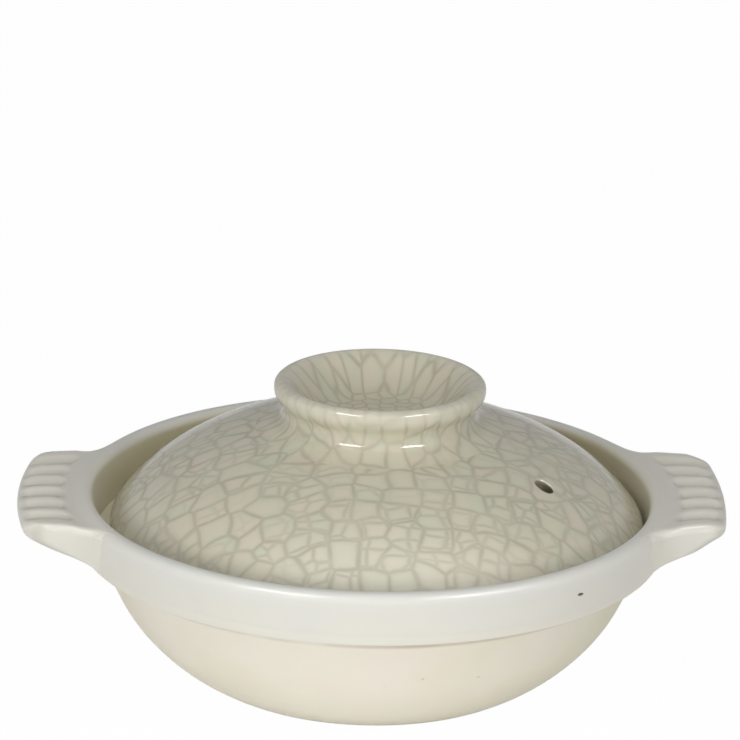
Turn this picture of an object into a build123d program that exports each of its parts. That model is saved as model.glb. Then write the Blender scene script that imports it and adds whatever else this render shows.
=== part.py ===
from build123d import *
import os
from math import atan2, cos, degrees, radians, sin, sqrt, tan

# A donabe: a fired clay pot with two ribbed lugs and a domed lid that sits loose on a ledge inside the rim.
# Lengths are in millimetres. The pot stands on z = 0 with its axis on Z, and its lugs point along X.

# Bowl: its belly and foot are shares of the rim's diameter, and the belly's height is a share of the rim's
rim_diameter = 200.0
rim_height = 62.5
lip_thickness = 6.4
band_height = 17.7
band_taper = 1.9
bead_height = 3.2
bead_depth = 0.5
undercut_depth = 1.8
undercut_height = 0.6
bowl_wall = 7.4
floor_thickness = 7.5
floor_turn_radius = 25.0
belly_height_share = 0.2976
belly_diameter_share = 0.785
foot_diameter_share = 0.57
foot_ring_width = 8.0
foot_recess = 1.2
foot_rounding = 0.8

# Seat for the lid, inside the rim
seat_depth = 17.0
gallery_wall = 7.0
ledge_edge = 3.7
ledge_rounding = 1.5

# Lid: the height shares are of its rise above the ledge, and the width shares are of its own width
seat_clearance = 2.9
lid_rest_share = 0.7
lid_rise = 42.3
lid_wall = 5.5
skirt_height_share = 0.1017
edge_width_share = 0.979
edge_height_share = 0.2364
shoulder_width_share = 0.8024
shoulder_height_share = 0.591
crown_height_share = 0.9385

# Steam vent through the lid
vent_bore = 5.4
vent_circle_share = 0.6992
vent_height_share = 0.714
vent_azimuth = -34.0
vent_lean = 13.0

# Knob ring, on the crown of the lid: its foot, neck and cup are shares of its diameter
knob_diameter = 71.0
knob_height = 12.9
knob_lip_thickness = 4.4
knob_crest_share = 0.35
knob_flare_drop = 4.4
knob_lip_drop = 1.6
knob_foot_share = 0.9577
knob_foot_land = 0.4
knob_neck_share = 0.8394
knob_neck_height = 1.6
knob_cup_share = 0.6056
knob_root = 2.5

# Lugs
lug_overhang = 19.4
lug_drop = 0.4
lug_root_depth = 15.1
lug_root_width = 81.0
lug_tip_width = 72.0
lug_draft = 29.0
lug_end_radius = 170.0
lug_corner_radius = 9.0
saddle_width = 6.5
saddle_depth = 0.7
nose_roll = 5.0
nose_drop = 5.2
nose_heel = 1.8

# Grooves that leave the ribs of a lug: their spacing is a share of the lug's width
groove_count = 6
groove_pitch_share = 0.1445
groove_length = 15.6
groove_radius = 2.4
groove_depth = 1.4

# Every cut runs past its work by this much
overrun = 5.0

# Places that follow from the sizes
rim_radius = rim_diameter / 2
lip_radius = lip_thickness / 2
lip_centre_radius = rim_radius - lip_radius
lip_centre_height = rim_height - lip_radius
band_edge_radius = rim_radius - band_taper
band_edge_height = rim_height - band_height
foot_radius = foot_diameter_share * rim_radius
ledge_height = rim_height - seat_depth
seat_radius = rim_radius - gallery_wall
lid_radius = seat_radius - seat_clearance
lid_x = lid_rest_share * seat_clearance
lid_plane = Plane(origin=(lid_x, 0, 0), x_dir=(1, 0, 0), z_dir=(0, -1, 0))
lid_axis = Axis((lid_x, 0, 0), (0, 0, 1))
lid_top = ledge_height + lid_rise
knob_radius = knob_diameter / 2
knob_foot_radius = knob_foot_share * knob_radius
knob_cup_radius = knob_cup_share * knob_radius
knob_top = lid_top + knob_height
lug_reach = rim_radius + lug_overhang
lug_top = rim_height - lug_drop
lug_root_bottom = lug_top - lug_root_depth
lug_centre_x = lug_reach - lug_end_radius
nose_height = lug_top - nose_drop

# The flared wall is straight from the belly to the undercut, and its inside runs parallel to its outside
side_top = Vector(band_edge_radius - undercut_depth, band_edge_height - undercut_height)
side_foot = Vector(belly_diameter_share * rim_radius, belly_height_share * rim_height)
side_slope = atan2(side_top.Y - side_foot.Y, side_top.X - side_foot.X)


def cavity_radius(height):
    """Radius of the straight inner wall at a height."""
    outer_radius = side_top.X - (side_top.Y - height) / tan(side_slope)
    return outer_radius - bowl_wall / sin(side_slope)


def one_wall_inside(curve):
    """The point inside the lid that faces the end of one of its outer curves."""
    return curve @ 1 + lid_wall * (curve % 1).rotate(Axis.Z, -90)


# The ledge reaches in to where its upright edge meets the inner wall
ledge_under = ledge_height - ledge_edge
ledge_radius = cavity_radius(ledge_under)

# The bowl: a foot, a belly arc, a straight flared wall, an undercut, the band with its bead, and a round
# lip. Inside are the upright gallery, the ledge that carries the lid, and the cooking space.
with BuildPart() as pot_bowl:
    with BuildSketch(Plane.XZ) as bowl_profile:
        with BuildLine():
            side = Line(side_top, side_foot)
            belly = TangentArc(side_foot, (foot_radius, 0), tangent=side % 1)
            band_edge = (band_edge_radius, band_edge_height)
            bead_top = (band_edge_radius + bead_depth, band_edge_height + bead_height)
            lip_outside = (rim_radius, lip_centre_height)
            lip_inside = (rim_radius - lip_thickness, lip_centre_height)
            Polyline(side_top, band_edge, bead_top, lip_outside)
            ThreePointArc(lip_outside, (lip_centre_radius, rim_height), lip_inside)
            Polyline(
                lip_inside,
                (seat_radius, ledge_height),
                (ledge_radius, ledge_height),
                (ledge_radius, ledge_under),
                (cavity_radius(floor_thickness), floor_thickness),
                (0, floor_thickness),
                (0, 0),
                (foot_radius, 0),
            )
        make_face()
        floor_corner = Vertex(cavity_radius(floor_thickness), floor_thickness)
        fillet(bowl_profile.vertices().sort_by_distance(floor_corner)[0], floor_turn_radius)
        ledge_corner = Vertex(ledge_radius, ledge_height)
        fillet(bowl_profile.vertices().sort_by_distance(ledge_corner)[0], ledge_rounding)
        foot_corner = Vertex(foot_radius, 0)
        fillet(bowl_profile.vertices().sort_by_distance(foot_corner)[0], foot_rounding)
    revolve(axis=Axis.Z)
    with BuildSketch(Plane.XY):
        Circle(foot_radius - foot_ring_width)
    extrude(amount=foot_recess, mode=Mode.SUBTRACT)

pot_bowl.part.label = "pot_bowl"

# The lid: a crown, a shoulder, an edge and a skirt that stands on the ledge, in arcs that run into one
# another. Its inside is one wall further in. It rests a little off the pot's axis, within its clearance.
with BuildPart() as lid_dome:
    with BuildSketch(lid_plane):
        with BuildLine():
            skirt_height = skirt_height_share * lid_rise
            crown_end = (knob_foot_radius, ledge_height + crown_height_share * lid_rise)
            shoulder_height = ledge_height + shoulder_height_share * lid_rise
            shoulder_end = (shoulder_width_share * lid_radius, shoulder_height)
            edge_end = (edge_width_share * lid_radius, ledge_height + edge_height_share * lid_rise)
            skirt_top = (lid_radius, ledge_height + skirt_height)
            crown = TangentArc((0, lid_top), crown_end, tangent=(1, 0))
            shoulder = TangentArc(crown_end, shoulder_end, tangent=crown % 1)
            edge = TangentArc(shoulder_end, edge_end, tangent=shoulder % 1)
            TangentArc(edge_end, skirt_top, tangent=edge % 1)
            inner_top = (0, lid_top - lid_wall)
            inner_crown = TangentArc(inner_top, one_wall_inside(crown), tangent=(1, 0))
            inner_shoulder = TangentArc(inner_crown @ 1, one_wall_inside(shoulder), tangent=crown % 1)
            inner_edge = TangentArc(inner_shoulder @ 1, one_wall_inside(edge), tangent=shoulder % 1)
            Polyline(
                skirt_top,
                (lid_radius, ledge_height),
                (lid_radius - lid_wall, ledge_height),
                (lid_radius - lid_wall, ledge_height + skirt_height),
                inner_edge @ 1,
            )
            Line(inner_top, (0, lid_top))
        make_face()
    revolve(axis=lid_axis)
    # The vent crosses the lid's surface at its place on the vent circle and leans towards the knob
    vent_turn = radians(vent_azimuth)
    outward = Vector(cos(vent_turn), sin(vent_turn), 0)
    vent_height = ledge_height + vent_height_share * lid_rise
    vent_point = Vector(lid_x, 0, vent_height) + outward * (vent_circle_share * lid_radius)
    vent_direction = Vector(0, 0, cos(radians(vent_lean))) - outward * sin(radians(vent_lean))
    with BuildSketch(Plane(origin=vent_point, z_dir=vent_direction)):
        Circle(vent_bore / 2)
    extrude(amount=lid_wall + overrun, both=True, mode=Mode.SUBTRACT)

lid_dome.part.label = "lid_dome"

# The knob: a ring with a hollow neck and a flared, rounded lip, cut at its foot to the curve of the crown.
with BuildPart() as lid_knob:
    with BuildSketch(lid_plane):
        with BuildLine():
            foot_point = (crown @ 1) + Vector(0, knob_foot_land)
            neck_point = Vector(knob_neck_share * knob_radius, lid_top + knob_neck_height)
            flare_point = Vector(knob_radius, knob_top - knob_flare_drop)
            neck_fillet = TangentArc(neck_point, foot_point, tangent=(0, -1))
            flare_start = TangentArc(neck_point, (neck_point + flare_point) / 2, tangent=(0, 1))
            flare_end = TangentArc(flare_start @ 1, flare_point, tangent=flare_start % 1)
            lip_crest = (knob_radius - knob_crest_share * knob_lip_thickness, knob_top)
            cup_lip = (knob_radius - knob_lip_thickness, knob_top - knob_lip_drop)
            outer_lip = TangentArc(flare_point, lip_crest, tangent=flare_end % 1)
            TangentArc(lip_crest, cup_lip, tangent=outer_lip % 1)
            root_height = (crown @ 1).Y - knob_root
            Polyline(
                cup_lip,
                (knob_cup_radius, lid_top),
                (knob_cup_radius, root_height),
                ((crown @ 1).X, root_height),
                foot_point,
            )
        make_face()
    revolve(axis=lid_axis)
    add(lid_dome.part, mode=Mode.SUBTRACT)

lid_knob.part.label = "lid_knob"

# One groove cutter, drawn along X with the lug's nose at x = 0: a round tool that runs in over the top of
# the lug and turns down over its nose.
tool_lift = groove_radius - groove_depth
with BuildPart() as groove_tool:
    with BuildLine(Plane.XZ) as groove_path:
        top_run = Line((-groove_length, lug_top + tool_lift), (-nose_roll, lug_top + tool_lift))
        TangentArc(top_run @ 1, (tool_lift, 0, nose_height), tangent=top_run % 1)
    with BuildSketch(Plane(origin=top_run @ 0, z_dir=top_run % 0)):
        Circle(groove_radius)
    sweep(path=groove_path.line)
    with Locations(top_run @ 0):
        Sphere(groove_radius)


def groove_places():
    """The place and turn of each groove: from the band to the nose they draw together."""
    places = []
    for index in range(groove_count):
        step = index - (groove_count - 1) / 2
        tip_y = step * groove_pitch_share * lug_tip_width
        root_y = step * groove_pitch_share * lug_root_width
        tip_x = lug_centre_x + sqrt(lug_end_radius**2 - tip_y**2)
        turn = degrees(atan2(tip_y - root_y, groove_length))
        places.append(Location((tip_x, tip_y, 0), (0, 0, turn)))
    return places


# A lug: its side view turned about a far centre, kept inside a plan outline that narrows downwards, then cut
# to the band's surface and grooved. The right one is drawn, and the left one is its mirror image.
with BuildPart() as right_lug:
    with BuildSketch(Plane.XZ):
        with BuildLine():
            inner_x = lip_centre_radius - overrun
            saddle_start = (rim_radius, lug_top)
            saddle_low = (rim_radius + saddle_width / 2, lug_top - saddle_depth)
            saddle_end = (rim_radius + saddle_width, lug_top)
            nose_start = (lug_reach - nose_roll, lug_top)
            nose_tip = (lug_reach, nose_height)
            heel_end = (lug_reach - nose_heel, nose_height - nose_heel)
            ThreePointArc(saddle_start, saddle_low, saddle_end)
            crest = Line(saddle_end, nose_start)
            nose = TangentArc(nose_start, nose_tip, tangent=crest % 1)
            TangentArc(nose_tip, heel_end, tangent=nose % 1)
            Polyline(
                heel_end,
                (band_edge_radius, lug_root_bottom),
                (inner_x, lug_root_bottom),
                (inner_x, lug_top),
                saddle_start,
            )
        make_face()
    revolve(axis=Axis((lug_centre_x, 0, 0), (0, 0, 1)))
    full_narrowing = lug_root_depth * tan(radians(lug_draft))
    for height, narrowing in ((lug_root_bottom, full_narrowing), (lug_top, 0)):
        root_half = lug_root_width / 2 - narrowing
        tip_half = lug_tip_width / 2 - narrowing
        root_x = sqrt(rim_radius**2 - root_half**2)
        with BuildSketch(Plane.XY.offset(height)) as plan:
            with BuildLine():
                Polyline(
                    (0, -root_half),
                    (root_x, -root_half),
                    (lug_reach, -tip_half),
                    (lug_reach + overrun, 0),
                    (lug_reach, tip_half),
                    (root_x, root_half),
                    (0, root_half),
                    close=True,
                )
            make_face()
            fillet(plan.vertices().sort_by(Axis.X)[-3:-1], lug_corner_radius)
    loft(ruled=True, mode=Mode.INTERSECT)
    with BuildSketch(Plane.XY):
        Circle(lip_centre_radius)
    extrude(amount=rim_height + overrun, mode=Mode.SUBTRACT)
    add(pot_bowl.part, mode=Mode.SUBTRACT)
    with Locations(*groove_places()):
        add(groove_tool.part, mode=Mode.SUBTRACT)

right_lug.part.label = "right_lug"

with BuildPart() as left_lug:
    mirror(right_lug.part, about=Plane.YZ)

left_lug.part.label = "left_lug"

os.makedirs("parts", exist_ok=True)
export_step(pot_bowl.part, "parts/pot_bowl.step")
export_step(left_lug.part, "parts/left_lug.step")
export_step(right_lug.part, "parts/right_lug.step")
export_step(lid_dome.part, "parts/lid_dome.step")
export_step(lid_knob.part, "parts/lid_knob.step")
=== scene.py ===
"""A donabe clay pot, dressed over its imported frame.

The size fields of the pieces are in millimetres and the meshes are in metres. Z is up along the pot's axis,
+X runs towards the right lug and -Y towards the viewer.
"""
import logging
import math
from dataclasses import dataclass, field
from enum import Enum
from typing import Any

import bpy
import numpy as np
from mathutils import Matrix, Vector
from numpy.typing import NDArray


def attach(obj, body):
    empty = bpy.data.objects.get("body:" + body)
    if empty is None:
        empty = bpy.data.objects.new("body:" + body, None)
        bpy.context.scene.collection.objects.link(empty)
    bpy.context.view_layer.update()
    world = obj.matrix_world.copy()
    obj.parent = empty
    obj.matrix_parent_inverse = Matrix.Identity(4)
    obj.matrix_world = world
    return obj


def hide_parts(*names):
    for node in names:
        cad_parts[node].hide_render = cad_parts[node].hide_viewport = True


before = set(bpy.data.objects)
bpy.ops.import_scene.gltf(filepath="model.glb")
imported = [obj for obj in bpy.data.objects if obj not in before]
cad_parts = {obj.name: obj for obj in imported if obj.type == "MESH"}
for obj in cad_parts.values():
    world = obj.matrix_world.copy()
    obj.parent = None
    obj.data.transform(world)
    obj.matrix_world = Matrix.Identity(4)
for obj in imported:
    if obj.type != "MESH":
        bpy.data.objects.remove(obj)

Array = NDArray[np.float64]
Index = NDArray[np.int64]
Colour = tuple[float, float, float]
Settings = dict[str, Any]
Sockets = dict[Any, Any]

MM = 0.001
log = logging.getLogger("donabe")


class Body(Enum):
    """The two bodies that a piece can ride on."""

    POT = "pot"
    LID = "lid"


class Slot(Enum):
    """The material slots."""

    CLAY = "bare_clay"
    SATIN = "satin_glaze"
    CRACKLE = "crackle_glaze"


class Shows(Enum):
    """What a lamp's light reaches: the pieces' own colour, or the glaze as a mirrored shape."""

    COLOUR = "colour"
    MIRROR = "mirror"


class Side(Enum):
    """The side of the pot that a lug stands on."""

    LEFT = -1
    RIGHT = 1


def paint(red: int, green: int, blue: int) -> Colour:
    """Turn a colour as a screen shows it, in steps of 255, into the linear values that a shader takes.

    Args:
        red: Red, 0 to 255.
        green: Green, 0 to 255.
        blue: Blue, 0 to 255.

    Returns:
        The linear colour.
    """
    share = np.array((red, green, blue)) / 255
    linear = np.where(share <= 0.04045, share / 12.92, ((share + 0.055) / 1.055) ** 2.4)
    return (float(linear[0]), float(linear[1]), float(linear[2]))


def smooth(low: float, high: float, value: Array) -> Array:
    """Go from 0 at low to 1 at high along 3t^2 - 2t^3. Low may be the greater one."""
    share = np.clip((value - low) / (high - low), 0, 1)
    return share * share * (3 - 2 * share)


class Pen:
    """Draws a profile out of lines and arcs. Each may leave in the heading that the last one ended in."""

    def __init__(self, start: tuple[float, float], spacing: float = 0.25) -> None:
        """Set the pen down.

        Args:
            start: First point, in millimetres.
            spacing: Greatest distance between drawn points, in millimetres.
        """
        self.spacing = spacing
        self.runs = [np.array([start], float)]
        self.heading = np.array((1.0, 0.0))

    @property
    def place(self) -> Array:
        """Where the pen is."""
        return self.runs[-1][-1]

    def line(self, *ends: tuple[float, float]) -> "Pen":
        """Draw straight lines to the given points, one after the other.

        Args:
            ends: Points to draw to.

        Returns:
            The pen.
        """
        for end in ends:
            start, stop = self.place, np.array(end, float)
            length = np.hypot(*(stop - start))
            share = np.linspace(0, 1, max(2, math.ceil(length / self.spacing)) + 1)[1:, None]
            self.runs.append(start + share * (stop - start))
            self.heading = (stop - start) / length
        return self

    def arc(self, end: tuple[float, float], heading: tuple[float, float] | None = None) -> "Pen":
        """Draw the circular arc that leaves along the heading and reaches the end.

        With c the chord, t the heading and a the angle between them, the radius is |c| / (2 sin a), and the
        point at share s of the arc is start + radius * (sin(2as) t + (1 - cos(2as)) n), n being the normal
        towards the end.

        Args:
            end: Point to draw to.
            heading: Direction in which the arc leaves, or None for the last heading.

        Returns:
            The pen.
        """
        along = self.heading if heading is None else np.array(heading, float) / np.hypot(*heading)
        start, chord = self.place, np.array(end, float) - self.place
        across = np.array((-along[1], along[0]))
        side = np.sign(chord @ across)
        half_turn = math.acos(np.clip(chord @ along / np.hypot(*chord), -1, 1))
        radius = np.hypot(*chord) / (2 * math.sin(half_turn))
        count = max(3, math.ceil(2 * half_turn * radius / self.spacing))
        angle = 2 * half_turn * np.linspace(0, 1, count + 1)[1:, None]
        self.runs.append(start + radius * (np.sin(angle) * along + (1 - np.cos(angle)) * side * across))
        self.heading = math.cos(2 * half_turn) * along + math.sin(2 * half_turn) * side * across
        return self

    def points(self) -> Array:
        """All drawn points, in order."""
        return np.concatenate(self.runs)


def soften(points: Array, reach: float, spacing: float = 0.2) -> Array:
    """Round the corners of an open profile, as a film of glaze does.

    The profile is laid out evenly along its length and each point becomes the mean of its neighbours,
    weighted by exp(-(d / reach)^2 / 2) with d the distance along the profile. The ends are kept by turning
    the profile about them by half a turn.

    Args:
        points: Profile, in millimetres.
        reach: Spread of the weights, in millimetres.
        spacing: Distance between the points of the result, in millimetres.

    Returns:
        The rounded profile.
    """
    along = lengths(points)
    keep = np.concatenate([[True], np.diff(along) > 1e-9])
    count = math.ceil(along[-1] / spacing)
    even = np.linspace(0, along[-1], count + 1)
    laid = np.stack([np.interp(even, along[keep], points[keep, axis]) for axis in (0, 1)], 1)
    half = math.ceil(3 * reach / spacing)
    weights = np.exp(-0.5 * (np.arange(-half, half + 1) * spacing / reach) ** 2)
    weights /= weights.sum()
    before = 2 * laid[0] - laid[half:0:-1]
    after = 2 * laid[-1] - laid[-2 : -half - 2 : -1]
    long = np.concatenate([before, laid, after])
    return np.stack([np.convolve(long[:, axis], weights, "valid") for axis in (0, 1)], 1)


def thin_out(points: Array, far: float, turn: float) -> Array:
    """Keep few points where a profile is straight and many where it bends.

    The points are spread evenly in the sum of length / far and angle turned / turn.

    Args:
        points: Dense profile, in millimetres.
        far: Greatest distance between points, in millimetres.
        turn: Greatest angle between neighbouring stretches, in degrees.

    Returns:
        The thinned profile.
    """
    steps = np.diff(points, axis=0)
    angle = np.unwrap(np.arctan2(steps[:, 1], steps[:, 0]))
    bend = np.abs(np.gradient(angle)) / math.radians(turn)
    measure = np.concatenate([[0], np.cumsum(np.hypot(*steps.T) / far + bend)])
    even = np.linspace(0, measure[-1], math.ceil(measure[-1]) + 1)
    return np.stack([np.interp(even, measure, points[:, axis]) for axis in (0, 1)], 1)


def lengths(points: Array) -> Array:
    """Length along a profile at each of its points."""
    return np.concatenate([[0], np.cumsum(np.hypot(*np.diff(points, axis=0).T))])


def finished(profile: Array, reach: float, far: float, turn: float, spacing: float = 0.2) -> Array:
    """Soften a drawn profile, thin it out, and set both of its ends on the axis.

    Args:
        profile: Profile, in millimetres.
        reach: How far the corners are rounded, in millimetres.
        far: Greatest distance between the points of the result, in millimetres.
        turn: Greatest angle between neighbouring stretches, in degrees.
        spacing: Distance between points while the corners are rounded, in millimetres.

    Returns:
        The profile that is turned.
    """
    kept = thin_out(soften(profile, reach, spacing), far, turn)
    kept[0, 0] = kept[-1, 0] = 0
    return kept


def wander(angle: Array, height: Array, seed: float) -> Array:
    """Slow waves of a thrown wall, from -1 to 1.

    The sum of three sines with 2, 3 and 5 lobes round the pot, whose phases drift with the height.

    Args:
        angle: Angle round the axis, in radians.
        height: Height, in millimetres.
        seed: Phase that sets one piece apart from another.

    Returns:
        The wave's height at each point.
    """
    first = 0.5 * np.sin(2 * angle + seed + height / 60)
    second = 0.3 * np.sin(3 * angle + 2.1 * seed - height / 35)
    third = 0.2 * np.sin(5 * angle + 3.7 * seed + height / 22)
    return first + second + third


def quads(index: Index, around: bool = False) -> Index:
    """Faces of a grid of points.

    Args:
        index: Number of each point, in rows.
        around: Whether each row closes on itself.

    Returns:
        One row of four point numbers for each face.
    """
    across = np.concatenate([index, index[:, :1]], 1) if around else index
    corners = (across[:-1, :-1], across[:-1, 1:], across[1:, 1:], across[1:, :-1])
    return np.stack([corner.ravel() for corner in corners], 1)


def fan(ring: Index, tip: int) -> Index:
    """Triangles from a closed ring of points to one point."""
    return np.stack([ring, np.roll(ring, -1), np.full_like(ring, tip)], 1)


def capped(index: Index, tip: int) -> list[Index]:
    """Faces of a grid whose rows close on themselves, and whose first and last row close on a point each.

    Args:
        index: Number of each point, in rows.
        tip: Number of the point that closes the first row. The one that closes the last row follows it.

    Returns:
        The faces.
    """
    return [quads(index, True), fan(index[0][::-1], tip), fan(index[-1], tip + 1)]


def outwards(points: Array, faces: list[Index]) -> list[Index]:
    """Turn the faces of a closed shell so that they point outwards.

    The volume under each face, summed, is positive for a shell whose faces point outwards.

    Args:
        points: Points of the shell.
        faces: Faces of three or four corners.

    Returns:
        The faces, all reversed if the volume was negative.
    """
    volume = 0.0
    for group in faces:
        for step in range(1, group.shape[1] - 1):
            first, second, third = (points[group[:, corner]] for corner in (0, step, step + 1))
            volume += float(np.einsum("ij,ij->", first, np.cross(second, third)))
    return faces if volume > 0 else [group[:, ::-1] for group in faces]


@dataclass
class Shell:
    """Points in millimetres, faces, and the values that the finishes read at each point."""

    points: Array
    faces: list[Index]
    values: dict[str, Array] = field(default_factory=dict)

    def to_object(self, name: str) -> bpy.types.Object:
        """Make the mesh object, in metres, with smooth faces that point outwards.

        Args:
            name: Name of the piece.

        Returns:
            The new object, at the origin.
        """
        mesh = bpy.data.meshes.new(name)
        faces = [face for group in outwards(self.points, self.faces) for face in group.tolist()]
        mesh.from_pydata((self.points * MM).tolist(), [], faces)
        for key, value in self.values.items():
            kind, slot = ("FLOAT_VECTOR", "vector") if value.ndim == 2 else ("FLOAT", "value")
            attribute = mesh.attributes.new(key, kind, "POINT")
            attribute.data.foreach_set(slot, value.astype(np.float32).ravel())
        mesh.shade_smooth()
        mesh.validate()
        piece = bpy.data.objects.new(name, mesh)
        bpy.context.scene.collection.objects.link(piece)
        return piece


def turned(profile: Array, angles: Array, waves: Array, centre: float = 0.0) -> tuple[Array, list[Index]]:
    """Turn a profile whose ends lie on the axis.

    The points are (centre + r cos t, r sin t, z), row by row, with the waves added to r. The two on the axis
    come last.

    Args:
        profile: Rows of radius and height.
        angles: Angles round the axis, in radians.
        waves: Change of the radius, for each inner profile point and angle.
        centre: Where the axis stands on X.

    Returns:
        The points and the faces.
    """
    radius = profile[1:-1, :1] + waves
    height = np.broadcast_to(profile[1:-1, 1:], radius.shape)
    body = np.stack([centre + radius * np.cos(angles), radius * np.sin(angles), height], -1)
    points = np.concatenate([body.reshape(-1, 3), [[centre, 0, profile[0, 1]], [centre, 0, profile[-1, 1]]]])
    return points, capped(np.arange(radius.size).reshape(radius.shape), radius.size)


@dataclass(frozen=True)
class Gauge:
    """Sizes that more than one piece is set by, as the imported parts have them."""

    rim_radius: float = 100.0
    rim_height: float = 62.5
    lip_radius: float = 3.2
    ledge_height: float = 45.5
    lid_x: float = 2.03
    lid_top: float = 87.8
    crown_radius: float = 34.0
    crown_height: float = 85.2
    crown_slope: float = 8.75
    dome_bend: float = 96.7


GAUGE = Gauge()


class Wire:
    """A number's socket. Sums, differences and products of wires add the Math nodes for them."""

    def __init__(self, bench: "Bench", socket: bpy.types.NodeSocket) -> None:
        """Wrap a socket of a bench's tree."""
        self.bench = bench
        self.socket = socket

    def _with(self, operation: str, first: "Wire | float", second: "Wire | float") -> "Wire":
        """Add one Math node."""
        return self.bench.wire("ShaderNodeMath", {"operation": operation}, {0: first, 1: second})

    def __add__(self, other: "Wire | float") -> "Wire":
        """Sum."""
        return self._with("ADD", self, other)

    __radd__ = __add__

    def __sub__(self, other: "Wire | float") -> "Wire":
        """Difference."""
        return self._with("SUBTRACT", self, other)

    def __rsub__(self, other: float) -> "Wire":
        """Difference from a plain number."""
        return self._with("SUBTRACT", other, self)

    def __mul__(self, other: "Wire | float") -> "Wire":
        """Product."""
        return self._with("MULTIPLY", self, other)

    __rmul__ = __mul__

    def over(self, other: "Wire | float") -> "Wire":
        """The greater of two values at each point."""
        return self._with("MAXIMUM", self, other)

    def step(self, low: float, high: float) -> "Wire":
        """Step smoothly from 0 to 1.

        Args:
            low: Where the step is 0.
            high: Where the step is 1. It may be below low.

        Returns:
            The step's wire.
        """
        least, most, first, last = (low, high, 0.0, 1.0) if low < high else (high, low, 1.0, 0.0)
        sockets = {0: self, 1: least, 2: most, 3: first, 4: last}
        return self.bench.wire("ShaderNodeMapRange", {"interpolation_type": "SMOOTHSTEP"}, sockets)

    def past(self, low: float, high: float) -> "Wire":
        """Step from 0 to 1 between two places in millimetres. The wire itself is in metres."""
        return self.step(low * MM, high * MM)

    def beyond(self, low: float, high: float) -> "Wire":
        """Step from 0 to 1 between two distances from 0, in millimetres, on both sides of it."""
        return (self * self).step((low * MM) ** 2, (high * MM) ** 2)


class Bench:
    """The nodes of one material or of the world."""

    def __init__(self, tree: bpy.types.NodeTree) -> None:
        """Start on an emptied tree."""
        self.tree = tree
        tree.nodes.clear()

    def node(self, kind: str, settings: Settings | None = None, sockets: Sockets | None = None) -> Any:
        """Add a node.

        Args:
            kind: The node's type.
            settings: Properties of the node, set before its sockets.
            sockets: What each input takes, by name or number: a wire, a socket or a value.

        Returns:
            The node.
        """
        made = self.tree.nodes.new(kind)
        for name, value in (settings or {}).items():
            setattr(made, name, value)
        for key, value in (sockets or {}).items():
            target = made.inputs[key]
            if isinstance(value, Wire):
                value = value.socket
            if isinstance(value, bpy.types.NodeSocket):
                self.tree.links.new(value, target)
            elif target.type == "RGBA" and len(value) == 3:
                target.default_value = (*value, 1.0)
            else:
                target.default_value = value
        return made

    def wire(self, kind: str, settings: Settings | None = None, sockets: Sockets | None = None,
             output: int | str = 0) -> Wire:
        """Add a node and wrap one of its outputs."""
        return Wire(self, self.node(kind, settings, sockets).outputs[output])

    def split(self, source: bpy.types.NodeSocket, *numbers: int) -> tuple[Wire, ...]:
        """Take a vector's parts, or a colour's channels.

        Args:
            source: Socket of the vector or the colour.
            numbers: Which parts, counted from 0.

        Returns:
            The parts' wires.
        """
        kind = "ShaderNodeSeparateColor" if source.type == "RGBA" else "ShaderNodeSeparateXYZ"
        parts = self.node(kind, None, {0: source}).outputs
        return tuple(Wire(self, parts[number]) for number in numbers)

    def ray(self, kind: str) -> Wire:
        """1 for rays of one kind, and 0 for others."""
        return self.wire("ShaderNodeLightPath", output=f"Is {kind} Ray")

    def mix(self, share: "Wire | float", first: Any, second: Any) -> bpy.types.NodeSocket:
        """Mix two colours.

        Args:
            share: How much of the second shows, 0 to 1.
            first: Colour or colour socket.
            second: Colour or colour socket.

        Returns:
            The mixed colour's socket.
        """
        settings = {"data_type": "RGBA", "clamp_factor": True}
        return self.node("ShaderNodeMix", settings, {0: share, 6: first, 7: second}).outputs[2]

    def vector(self, operation: str, *operands: Any) -> bpy.types.NodeSocket:
        """Vector maths on sockets or triples."""
        made = self.node("ShaderNodeVectorMath", {"operation": operation}, dict(enumerate(operands)))
        return made.outputs[0]

    def scaled(self, vector: bpy.types.NodeSocket, factor: "Wire | float") -> bpy.types.NodeSocket:
        """A vector times a number."""
        made = self.node("ShaderNodeVectorMath", {"operation": "SCALE"}, {0: vector, "Scale": factor})
        return made.outputs[0]

    def place(self) -> bpy.types.NodeSocket:
        """The point on the piece, in metres."""
        return self.node("ShaderNodeTexCoord").outputs["Object"]

    def stored(self, name: str, output: str = "Vector") -> bpy.types.NodeSocket:
        """A value that is stored on the mesh."""
        return self.node("ShaderNodeAttribute", {"attribute_name": name}).outputs[output]

    def noise(self, vector: Any, size: float, detail: float = 2.0, roughness: float = 0.5,
              lift: float = 0.0) -> Wire:
        """Soft noise from 0 to 1.

        Args:
            vector: Where to read it, in metres.
            size: Width of its patches, in millimetres.
            detail: Number of finer layers.
            roughness: Strength of the finer layers.
            lift: Shift along the noise's fourth axis, to set one noise apart from another.

        Returns:
            The noise's wire.
        """
        sockets = {"Vector": vector, "W": lift, "Scale": 1 / (size * MM)}
        sockets |= {"Detail": detail, "Roughness": roughness}
        return self.wire("ShaderNodeTexNoise", {"noise_dimensions": "4D"}, sockets)


@dataclass
class Skin:
    """What a finish gives the shader at each point: its colour, roughness and relief in millimetres."""

    colour: Any
    roughness: Any
    relief: Wire


def shade(name: str, bench: Bench, skin: Skin) -> None:
    """Join a skin to a glossy shader and the material's output.

    Args:
        name: Name of the material, for the log.
        bench: Bench of the material.
        skin: What the finish gives.
    """
    bump = bench.node("ShaderNodeBump", None, {"Strength": 1.0, "Distance": MM, "Height": skin.relief})
    sockets = {"Base Color": skin.colour, "Roughness": skin.roughness, "Normal": bump.outputs[0], "IOR": 1.5}
    shader = bench.node("ShaderNodeBsdfPrincipled", None, sockets)
    bench.node("ShaderNodeOutputMaterial", None, {"Surface": shader.outputs[0]})
    log.info("finish %s: %d nodes", name, len(bench.tree.nodes))


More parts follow.
